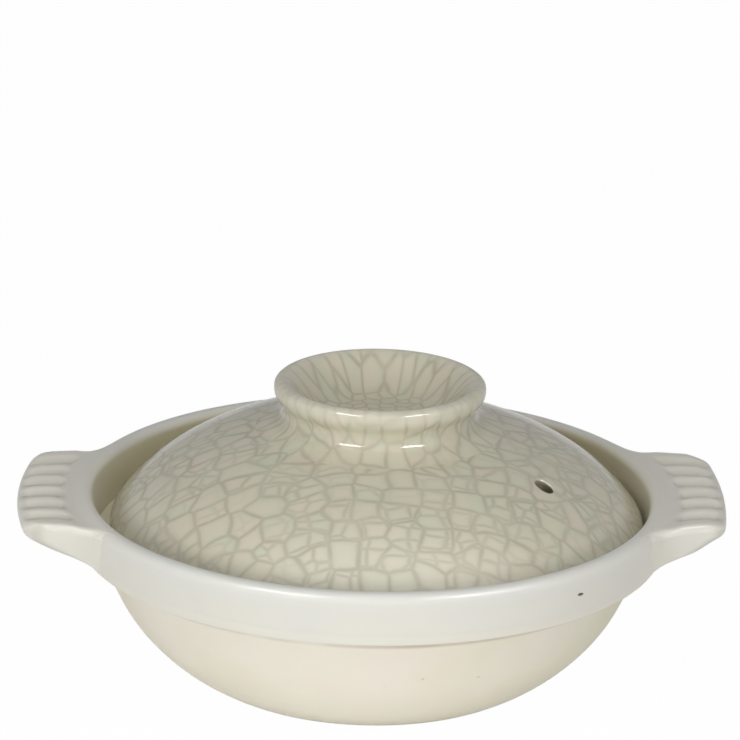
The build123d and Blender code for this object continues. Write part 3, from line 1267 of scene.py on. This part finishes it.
@dataclass
class LidDome:
    """The lid: crown, shoulder, edge and skirt, one wall thick, with its steam vent."""

    radius: float = 90.1
    wall: float = 5.5
    skirt: float = 4.3
    edge_radius: float = 88.21
    edge_height: float = 10.0
    shoulder_radius: float = 72.3
    shoulder_height: float = 25.0
    vent_bore: float = 5.4
    vent_circle: float = 63.0
    vent_azimuth: float = -34.0
    vent_lean: float = 13.0
    vent_rounding: float = 0.7
    skirt_rows: int = 8
    window_reach: float = 5.2
    window_columns: int = 5
    unevenness: float = 0.12
    turns: int = 288

    def profile(self) -> Array:
        """Draw the lid's half section, from the top of the crown round the skirt to the crown's inside.

        Returns:
            Rows of distance from the lid's axis, and height.
        """
        ledge = GAUGE.ledge_height
        ends = (
            (GAUGE.crown_radius, GAUGE.crown_height),
            (self.shoulder_radius, ledge + self.shoulder_height),
            (self.edge_radius, ledge + self.edge_height),
        )
        pen, inner = Pen((0, GAUGE.lid_top)), []
        for end in ends:
            pen.arc(end)
            inner.append((end[0] + self.wall * pen.heading[1], end[1] - self.wall * pen.heading[0]))
        within = self.radius - self.wall
        pen.arc((self.radius, ledge + self.skirt))
        pen.line((self.radius, ledge), (within, ledge), (within, ledge + self.skirt), inner[2])
        back = Pen((0, GAUGE.lid_top - self.wall))
        for end in inner:
            back.arc(end)
        return np.concatenate([pen.points(), back.points()[::-1][1:]])

    def shell(self) -> Shell:
        """Turn the profile, with a window in the outer and the inner face, and put the vent's collar in.

        Returns:
            The lid's shell.
        """
        kept = finished(self.profile(), reach=0.45, far=2.0, turn=7)
        along = lengths(kept)
        rows = along[1:-1]
        angles = np.linspace(0, 2 * np.pi, self.turns, endpoint=False) + math.radians(self.vent_azimuth)
        body = self._surface(kept, along, rows[:, None], angles[None]).reshape(-1, 3)
        index = np.arange(len(body)).reshape(len(rows), self.turns)
        outer_stop = int(np.argmax(kept[1:-1, 0]))
        vents = self._vent_places(kept, along, outer_stop)
        columns = np.arange(-self.window_columns, self.window_columns + 1)
        keep = np.ones((len(rows) - 1, self.turns), bool)
        borders = []
        for at in vents:
            low, high = (int(np.argmin(np.abs(rows - (at + way * self.window_reach)))) for way in (-1, 1))
            keep[low:high, columns[:-1]] = False
            borders.append(self._border(low, high, columns))
        borders[1] = self._facing(*borders)
        collar = self._collar(kept, along, angles, borders, vents)
        rings = [index[border[:, 0], border[:, 1]][None] for border in borders]
        inside = len(body) + np.arange(collar[..., 0].size).reshape(collar.shape[:2])
        patch = quads(np.concatenate([rings[0], inside, rings[1]]), True)
        ends = [[GAUGE.lid_x, 0, kept[0, 1]], [GAUGE.lid_x, 0, kept[-1, 1]]]
        points = np.concatenate([body, collar.reshape(-1, 3), ends])
        main, *fans = capped(index, len(points) - 2)
        main = main[keep.ravel()]
        faces = [main, self._fitting(patch, main, len(points)), *fans]
        collar_reach = self._reaches(collar, kept, along)
        reach = np.concatenate([np.repeat(rows, self.turns), collar_reach, [0, along[-1]]])
        depth = np.abs(np.arange(len(collar)) - (len(collar) - 1) / 2)
        # Painted shade: the bore's middle rings are marked to be darkened.
        tube = np.repeat(smooth(4.2, 2.4, depth), collar.shape[1])
        bore = np.concatenate([np.zeros(len(body)), tube, [0, 0]])
        return Shell(points, faces, self._values(points, reach, rows[outer_stop], bore))

    def _surface(self, kept: Array, along: Array, reach: Array, angle: Array) -> Array:
        """The lid's surface: the profile at a length along it, turned by an angle about the lid's axis.

        Args:
            kept: Profile.
            along: Length along the profile at its points.
            reach: Lengths to read.
            angle: Angles to read.

        Returns:
            Points in the pot's frame.
        """
        reach, angle = np.broadcast_arrays(reach, angle)
        radius = np.interp(reach, along, kept[:, 0])
        height = np.interp(reach, along, kept[:, 1])
        waves = self.unevenness * smooth(10, 40, radius) * (wander(angle, height, seed=2.3) - 1)
        radius = radius + waves
        return np.stack([GAUGE.lid_x + radius * np.cos(angle), radius * np.sin(angle), height], -1)

    def _vent_places(self, kept: Array, along: Array, outer_stop: int) -> tuple[float, float]:
        """Lengths along the profile where the vent's axis crosses the outer and the inner face.

        The axis passes the outer face on the vent's circle and leans towards the knob going up, so going
        down its distance from the lid's axis grows by tan(lean) times the depth.

        Args:
            kept: Profile.
            along: Length along the profile at its points.
            outer_stop: Row at which the outer face ends.

        Returns:
            The two lengths.
        """
        outer, slope = slice(0, outer_stop), math.tan(math.radians(self.vent_lean))
        outer_at = float(np.interp(self.vent_circle, kept[outer, 0], along[outer]))
        top = float(np.interp(outer_at, along, kept[:, 1]))
        inside = slice(outer_stop + self.skirt_rows, None)
        offset = kept[inside, 0] - self.vent_circle - (top - kept[inside, 1]) * slope
        return outer_at, float(np.interp(0.0, offset[::-1], along[inside][::-1]))

    @staticmethod
    def _border(low: int, high: int, columns: Index) -> Index:
        """Walk round a window of the grid.

        Args:
            low: Its first row.
            high: Its last row.
            columns: Its columns.

        Returns:
            Row and column of each point on the way.
        """
        up = [(low, column) for column in columns]
        right = [(row, columns[-1]) for row in range(low + 1, high + 1)]
        down = [(high, column) for column in columns[-2::-1]]
        left = [(row, columns[0]) for row in range(high - 1, low, -1)]
        return np.array(up + right + down + left)

    @staticmethod
    def _facing(outer: Index, inner: Index) -> Index:
        """Turn the inner window's border so that it runs along the outer one's.

        Args:
            outer: The outer border.
            inner: The inner border.

        Returns:
            The inner border, point against point of the outer one.
        """
        if len(outer) != len(inner):
            raise ValueError(f"the vent's windows have {len(outer)} and {len(inner)} border points")
        mirrored = inner[::-1]
        start = int(np.argmin(np.abs(mirrored[:, 1] - outer[0, 1]) * 1000 - mirrored[:, 0]))
        return np.roll(mirrored, -start, 0)

    def _collar(self, kept: Array, along: Array, angles: Array, borders: list[Index],
                vents: tuple[float, float]) -> Array:
        """Rings from the outer window through the bore to the inner window.

        On each face the rings run from the window's border to the bore's outline, which is the bore's
        circle drawn out by the slope of the face. Their edge turns down along a quarter circle, and
        straight rings join the two.

        Args:
            kept: Profile.
            along: Length along the profile.
            angles: Angles of the columns.
            borders: Borders of the outer and the inner window.
            vents: Lengths at the vent's place on the outer and the inner face.

        Returns:
            Points in a grid of rings by border points.
        """
        centre, lean = math.radians(self.vent_azimuth), math.radians(self.vent_lean)
        aside = -math.sin(lean)
        axis = np.array((aside * math.cos(centre), aside * math.sin(centre), math.cos(lean)))
        bore, rounding = self.vent_bore / 2, self.vent_rounding
        shares = smooth(0, 1, np.linspace(0, 1, 9)[1:-1]) ** 1.1
        sets = []
        for border, at, sense in zip(borders, vents, (-1.0, 1.0)):
            radius = float(np.interp(at, along, kept[:, 0]))
            (out, back), (high, low) = (
                [float(value) for value in np.interp((at - 1, at + 1), along, column)] for column in kept.T
            )
            slope = math.atan2(high - low, abs(back - out))
            stretch = 1 / math.cos(abs(slope) + lean)
            angle = (angles[border[:, 1] % self.turns] - centre + np.pi) % (2 * np.pi) - np.pi
            flat = np.stack([angle * radius, along[1:-1][border[:, 0]] - at], 1)
            towards = np.arctan2(flat[:, 1] / stretch, flat[:, 0])
            unit = np.stack([np.cos(towards), np.sin(towards) * stretch], 1)
            spots = [(flat + share * (unit * (bore + rounding) - flat), 0.0) for share in shares]
            for bend in np.linspace(0, np.pi / 2, 5):
                drop = sense * rounding * (1 - math.cos(bend))
                spots.append((unit * (bore + rounding * (1 - math.sin(bend))), drop))
            rings = []
            for spot, drop in spots:
                ring = self._surface(kept, along, at + spot[:, 1], centre + spot[:, 0] / radius)
                rings.append(ring + drop * axis)
            sets.append(np.stack(rings))
        joins = np.linspace(0, 1, 7)[1:-1][:, None, None]
        tube = sets[0][-1] + joins * (sets[1][-1] - sets[0][-1])
        return np.concatenate([sets[0], tube, sets[1][::-1]])

    @staticmethod
    def _fitting(patch: Index, main: Index, count: int) -> Index:
        """Turn a patch's faces to run the same way round as the faces that it joins.

        A shared edge is walked one way by one face and the other way by its neighbour.

        Args:
            patch: Faces of the patch.
            main: Faces that the patch joins.
            count: Number of points.

        Returns:
            The patch's faces, reversed if they ran the wrong way.
        """
        own, other = (
            np.concatenate([group[:, i] * count + group[:, (i + 1) % 4] for i in range(4)])
            for group in (patch, main)
        )
        return patch[:, ::-1] if np.isin(own, other).any() else patch

    @staticmethod
    def _reaches(collar: Array, kept: Array, along: Array) -> Array:
        """Length along the outer face that each collar point's distance from the lid's axis stands for.

        Args:
            collar: Points of the collar.
            kept: Profile.
            along: Length along the profile.

        Returns:
            One length for each point.
        """
        flat = collar.reshape(-1, 3)
        radius = np.hypot(flat[:, 0] - GAUGE.lid_x, flat[:, 1])
        outer = slice(0, int(np.argmax(kept[:, 0])))
        return np.interp(radius, kept[outer, 0], along[outer])

    @staticmethod
    def _values(points: Array, reach: Array, edge: float, bore: Array) -> dict[str, Array]:
        """The map that the crackle lies on, where it is plain, and where painted shade darkens the vent's
        bore.

        A point at angle t and length s from the crown lies at (s cos t, s sin t) on the map, so that cells
        keep their length down the dome.

        Args:
            points: Points in the pot's frame.
            reach: Length from the crown at each point.
            edge: Length at which the outer face ends.
            bore: 1 in the vent's bore.

        Returns:
            The values to store.
        """
        angle = np.arctan2(points[:, 1], points[:, 0] - GAUGE.lid_x)
        flat = np.stack([reach * np.cos(angle), reach * np.sin(angle), np.zeros(len(reach))], 1) * MM
        plain = 0.5 * smooth(edge - 24, edge - 6, reach)
        return {"glaze_map": flat, "glaze_marks": np.stack([plain, bore, np.ones(len(reach))], 1)}

    def build(self) -> bpy.types.Object:
        """Make and dress the dome."""
        finish = CrackleGlaze().material("dome_crackle_glaze")
        return Piece("dome", self.shell(), finish, Body.LID, Slot.CRACKLE, "lid_dome").place()


@dataclass
class KnobRing:
    """The knob: a hollow cup with a round lip on a flared neck, and a fillet that runs out on the crown."""

    lip_radius: float = 35.5
    top: float = 100.7
    lip: float = 6.9
    flare: float = 2.5
    edge: float = 3.0
    side: float = 3.1
    neck_radius: float = 32.2
    neck_height: float = 90.4
    foot_radius: float = 43.0
    foot_round: float = 4.4
    foot_turn: float = 63.0
    cup_radius: float = 20.5
    cup_floor: float = 88.1
    map_cup: float = 2.1
    map_wall: float = 8.0
    map_neck: float = 0.75
    map_shift: float = 0.31
    # Heights of the painted shade on the neck under the lip.
    neck_shade_from: tuple[float, float] = (84.8, 87.0)
    unevenness: float = 0.06
    turns: int = 288

    def profile(self) -> Array:
        """Draw the knob's half section, from the middle of the cup over the lip to that of its buried foot.

        Returns:
            Rows of distance from the lid's axis, and height.
        """
        pen = Pen((0, self.cup_floor)).line((self.cup_radius - 5, self.cup_floor))
        pen.arc((self.cup_radius + 1.6, self.cup_floor + 2.6))
        rim, top, side = self.lip_radius, self.top, self.top - self.side
        pen.line((rim - self.lip, top - self.flare)).arc((rim - self.edge, top))
        pen.arc((rim - 0.94, top - 0.65), (1, 0)).arc((rim, top - 2.45)).line((rim, side))
        pen.arc((rim - 1.0, side - 3.0)).line((self.neck_radius + 0.9, self.neck_height + 2.6))
        pen.arc((self.neck_radius, self.neck_height))
        flat = math.radians(self.foot_turn)
        bend = (self.foot_round * (1 - math.cos(flat)), -self.foot_round * math.sin(flat))
        pen.arc((self.neck_radius + bend[0], self.neck_height + bend[1]), (0, -1))
        pen.arc((self.foot_radius, self._dome_height(self.foot_radius) - 0.1))
        pen.line((self.foot_radius - 1, self._dome_height(self.foot_radius) - 1.6))
        pen.line((0, GAUGE.lid_top - 2.4))
        return pen.points()

    @staticmethod
    def _dome_height(radius: float) -> float:
        """Height of the dome's outer face near the crown's end."""
        run, slope = radius - GAUGE.crown_radius, math.tan(math.radians(GAUGE.crown_slope))
        return GAUGE.crown_height - run * slope - run**2 / (2 * GAUGE.dome_bend)

    def shell(self) -> Shell:
        """Turn the profile about the lid's axis.

        On the crackle's map the cup's floor is drawn larger and its wall is a narrow ring, which draws the
        cells out from the floor to the lip. The cup is shifted to a place of its own.

        Returns:
            The knob's shell.
        """
        kept = finished(self.profile(), reach=0.3, far=1.6, turn=6)
        angles = np.linspace(0, 2 * np.pi, self.turns, endpoint=False)
        rows = kept[1:-1]
        waves = self.unevenness * smooth(8, 24, rows[:, :1]) * (wander(angles, rows[:, 1:], seed=4.1) - 1)
        points, faces = turned(kept, angles, waves, GAUGE.lid_x)
        along = lengths(kept)
        crest = along[int(np.argmax(kept[:, 1]))]
        foot_height = self._dome_height(self.foot_radius)
        foot = along[int(np.argmin(np.hypot(kept[:, 0] - self.foot_radius, kept[:, 1] - foot_height)))]
        wide = self.cup_radius * self.map_cup
        cup = np.interp(along, (0, self.cup_radius, crest), (0, wide, wide + self.map_wall))
        neck = self.foot_radius + (foot - along) * self.map_neck + 0.2
        reach = np.repeat(np.where(along < crest, cup, neck)[1:-1], self.turns)
        reach = np.append(reach, (0, self.foot_radius))
        inside = np.concatenate([np.repeat(along[1:-1] < crest, self.turns), [True, False]])
        angle = np.arctan2(points[:, 1], points[:, 0] - GAUGE.lid_x)
        shift = np.where(inside, self.map_shift, 0.0)
        flat = np.stack([reach * np.cos(angle) * MM + shift, reach * np.sin(angle) * MM, 0 * reach], 1)
        height = points[:, 2]
        radius = np.hypot(points[:, 0] - GAUGE.lid_x, points[:, 1])
        plain = smooth(self.top - 6, self.top - 3, height)
        plain = plain * smooth(self.lip_radius - 6, self.lip_radius - 4, radius)
        # Painted shade on the neck under the lip, stored with the bore's mark.
        stained = 0.07 * smooth(self.top - 4.5, self.top - 7.5, height) * smooth(*self.neck_shade_from, height)
        marks = np.stack([plain, np.where(inside, 0.0, stained), np.where(inside, 0.0, 0.35)], 1)
        return Shell(points, faces, {"glaze_map": flat, "glaze_marks": marks})

    def build(self) -> bpy.types.Object:
        """Make and dress the knob."""
        finish = CrackleGlaze().material("knob_crackle_glaze")
        return Piece("knob_ring", self.shell(), finish, Body.LID, Slot.CRACKLE, "lid_knob").place()


@dataclass(frozen=True)
class SoftBox:
    """A square studio lamp that faces the pot."""

    name: str
    azimuth: float
    elevation: float
    power: float
    width: float = 0.8
    height: float = 0.5
    shows: Shows = Shows.COLOUR
    distance: float = 1.4

    def hang(self) -> None:
        """Make the lamp and turn it to the middle of the pot."""
        light = bpy.data.lights.new(self.name, "AREA")
        light.shape = "RECTANGLE"
        light.size, light.size_y = self.width, self.height
        light.energy = self.power
        lamp = bpy.data.objects.new(self.name, light)
        lamp.visible_glossy = self.shows is Shows.MIRROR
        lamp.visible_diffuse = self.shows is Shows.COLOUR
        bpy.context.scene.collection.objects.link(lamp)
        turn, tilt = math.radians(self.azimuth), math.radians(self.elevation)
        away = Vector((math.sin(turn) * math.cos(tilt), -math.cos(turn) * math.cos(tilt), math.sin(tilt)))
        lamp.location = Vector((0, 0, 0.06)) + away * self.distance
        lamp.rotation_mode = "QUATERNION"
        lamp.rotation_quaternion = (-away).to_track_quat("-Z", "Y")


@dataclass(frozen=True)
class Studio:
    """The white table and room, and the lamps."""

    table_width: float = 8.0
    level: float = 0.11
    front: float = 0.09
    mirrored: float = 0.8
    behind: float = 0.35
    table_mirrored: float = 0.46
    table_white: float = 0.985

    def room(self) -> None:
        """Light the room: white to the eye, nearly white in reflections, and dim for the rest.

        The light that it sheds has the strength level + front * max(-y, 0), y being that of the direction,
        and what the glaze mirrors of it mirrored - behind * max(y, 0).
        """
        world = bpy.data.worlds.new("room")
        bpy.context.scene.world = world
        world.use_nodes = True
        bench = Bench(world.node_tree)
        plain, glossy = bench.ray("Camera").over(bench.ray("Transmission")), bench.ray("Glossy")
        (back,) = bench.split(bench.node("ShaderNodeTexCoord").outputs["Generated"], 1)
        shed = ((back * -1.0).over(0.0) * self.front + self.level) * (1 - glossy)
        total = plain.over(glossy * (self.mirrored - back.over(0.0) * self.behind) + shed)
        sky = bench.node("ShaderNodeBackground", None, {"Color": (1.0, 1.0, 1.0), "Strength": total})
        bench.node("ShaderNodeOutputWorld", None, {"Surface": sky.outputs[0]})

    def table(self) -> None:
        """Lay the table. The eye sees nearly all of it as plain white, and the rest keeps the shadow."""
        half = self.table_width / 2
        mesh = bpy.data.meshes.new("table")
        corners = [(-half, -half, 0), (half, -half, 0), (half, half, 0), (-half, half, 0)]
        mesh.from_pydata(corners, [], [(0, 1, 2, 3)])
        top = bpy.data.objects.new("table", mesh)
        bpy.context.scene.collection.objects.link(top)
        material, bench = new_material("white_table")
        seen = bench.ray("Camera").over(bench.ray("Transmission"))
        eye = seen.over(bench.ray("Glossy") * self.table_mirrored)
        matt = bench.node("ShaderNodeBsdfDiffuse", None, {"Color": (0.9, 0.9, 0.9)})
        white = bench.node("ShaderNodeEmission", None, {"Color": (1.0, 1.0, 1.0), "Strength": 1.0})
        sockets = {0: eye * self.table_white, 1: matt.outputs[0], 2: white.outputs[0]}
        joined = bench.node("ShaderNodeMixShader", None, sockets)
        bench.node("ShaderNodeOutputMaterial", None, {"Surface": joined.outputs[0]})
        mesh.materials.append(material)

    def lamps(self) -> None:
        """Hang the lamps: two whose shapes the glaze mirrors, and six that light the pieces."""
        lamps = (
            SoftBox("left_shape", -41, 42, 9.0, 0.56, 0.26, Shows.MIRROR),
            SoftBox("right_shape", 42, 42, 9.0, 0.56, 0.26, Shows.MIRROR),
            SoftBox("left_key", -41, 42, 2.8),
            SoftBox("right_key", 42, 42, 2.7),
            SoftBox("left_fill", -36, 9, 6.9),
            SoftBox("right_fill", 42, 11, 3.5),
            SoftBox("bounce", 0, 2, 1.7, 1.0, 0.3),
            SoftBox("overhead", 0, 68, 3.4, 0.6, 0.6),
        )
        for lamp in lamps:
            lamp.hang()

    def build(self) -> None:
        """Set up the room, the table and the lamps."""
        self.room()
        self.table()
        self.lamps()


@dataclass(frozen=True)
class Viewpoint:
    """The camera, where the photographer stood. Angles are in degrees and lengths in metres."""

    azimuth: float = -3.5
    elevation: float = 18.22
    roll: float = 1.3
    distance: float = 1.3468
    aim: tuple[float, float, float] = (-0.00065, 0.01393, 0.09929)
    lens: float = 194.6

    def build(self) -> None:
        """Make the camera.

        Its forward direction is (-sin a cos e, cos a cos e, -sin e) for azimuth a and elevation e, and its
        right and up directions are turned about it by the roll.
        """
        turn, tilt, roll = (math.radians(value) for value in (self.azimuth, self.elevation, self.roll))
        ahead = Vector((-math.sin(turn) * math.cos(tilt), math.cos(turn) * math.cos(tilt), -math.sin(tilt)))
        level = Vector((math.cos(turn), math.sin(turn), 0))
        upright = level.cross(ahead)
        right = math.cos(roll) * level + math.sin(roll) * upright
        up = right.cross(ahead)
        data = bpy.data.cameras.new("camera")
        data.lens = self.lens
        data.sensor_width = 36.0
        data.clip_start = 0.05
        data.clip_end = 50.0
        camera = bpy.data.objects.new("camera", data)
        bpy.context.scene.collection.objects.link(camera)
        turned_by = Matrix((right, up, -ahead)).transposed().to_4x4()
        camera.matrix_world = Matrix.Translation(Vector(self.aim) - ahead * self.distance) @ turned_by
        bpy.context.scene.camera = camera


def main() -> None:
    """Build the studio and every piece."""
    logging.basicConfig(level=logging.INFO, format="%(name)s: %(message)s")
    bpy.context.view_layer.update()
    bpy.context.scene.view_settings.view_transform = "Standard"
    Viewpoint().build()
    Studio().build()
    PotBowl().build()
    Lug(Side.LEFT, seed=3).build()
    Lug(
        Side.RIGHT, reach=119.1, tip_half=36.9, draft=26.0, end_radius=250.0, skew=1.5, corner=4.8,
        back_corner=7.0, front_round=3.8, back_round=3.6, root_fillet=8.5, root_run=16.0, nose_drop=3.6,
        shoulder_drop=0.9, seed=8,
    ).build()
    LidDome().build()
    KnobRing().build()
    bpy.context.view_layer.update()


if __name__ == "__main__":
    main()
